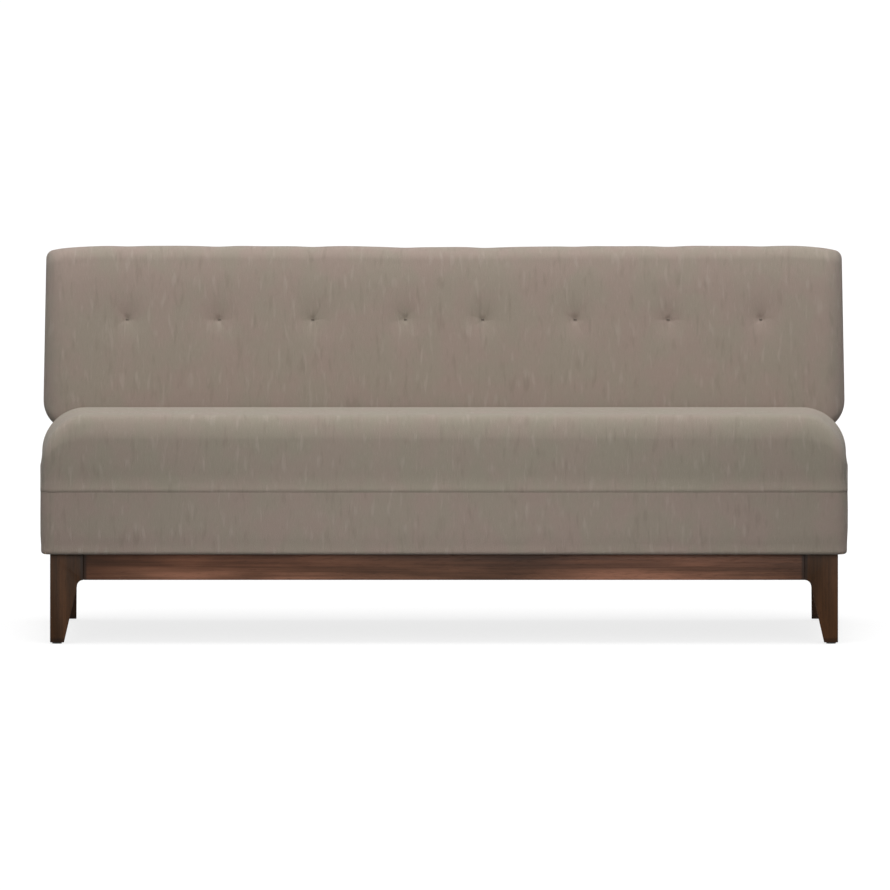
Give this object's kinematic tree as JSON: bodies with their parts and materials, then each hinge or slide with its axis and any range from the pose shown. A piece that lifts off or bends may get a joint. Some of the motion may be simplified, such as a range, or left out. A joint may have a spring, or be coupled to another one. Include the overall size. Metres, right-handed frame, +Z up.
{
  "type": "armless sofa section",
  "caption": "Armless sofa section with a tight sprung seat, a reclined tufted back and a dark walnut base on tapered legs.",
  "frame": {"origin": "on the floor, under the middle of the whole sofa's bounding box", "axes": "+Z up, the front faces -Y, +X along the sofa to the right seen from the front"},
  "size_m": [1.68, 0.8166, 0.781],
  "materials": {
    "walnut": "dark walnut, satin",
    "frame_wood": "planed hardwood, unfinished",
    "spring_steel": "oiled",
    "zinc_steel": "zinc plated",
    "foam": "open cell foam, matt",
    "wadding": "polyester wadding and felt, matt",
    "fabric": "heathered flat weave, matt",
    "lining": "spun lining cloth, matt",
    "webbing": "woven elastic webbing, matt",
    "glide": "moulded nylon, matt",
    "twine": "waxed twine, matt"
  },
  "bodies": {
    "root": {"back_bolts": "zinc_steel", "back_foam": "foam", "back_front_cover": "fabric", "back_left_stile": "frame_wood", "back_liner": "lining", "back_lower_rail": "frame_wood", "back_post_inner_left": "frame_wood", "back_post_inner_right": "frame_wood", "back_post_outer_left": "frame_wood", "back_post_outer_right": "frame_wood", "back_rear_cover": "fabric", "back_right_stile": "frame_wood", "back_top_rail": "frame_wood", "back_wadding": "wadding", "back_webbing": "webbing", "band_padding": "wadding", "base_stretchers": "frame_wood", "dust_cover": "lining", "frame_bolts": "zinc_steel", "front_apron": "walnut", "left_apron": "walnut", "leg_corner_blocks": "frame_wood", "leg_front_left": "walnut", "leg_front_right": "walnut", "leg_glides": "glide", "leg_rear_left": "walnut", "leg_rear_right": "walnut", "rear_apron": "walnut", "right_apron": "walnut", "seat_band": "fabric", "seat_corner_blocks": "frame_wood", "seat_cover": "fabric", "seat_cross_rails": "frame_wood", "seat_foam": "foam", "seat_front_rail": "frame_wood", "seat_left_rail": "frame_wood", "seat_rear_rail": "frame_wood", "seat_right_rail": "frame_wood", "seat_springs": "spring_steel", "seat_wadding": "wadding", "spring_clips": "spring_steel", "spring_insulator": "wadding", "spring_tie_wires": "spring_steel", "tuft_ties": "twine", "tuft_toggles": "glide"}
  },
  "joints": []
}
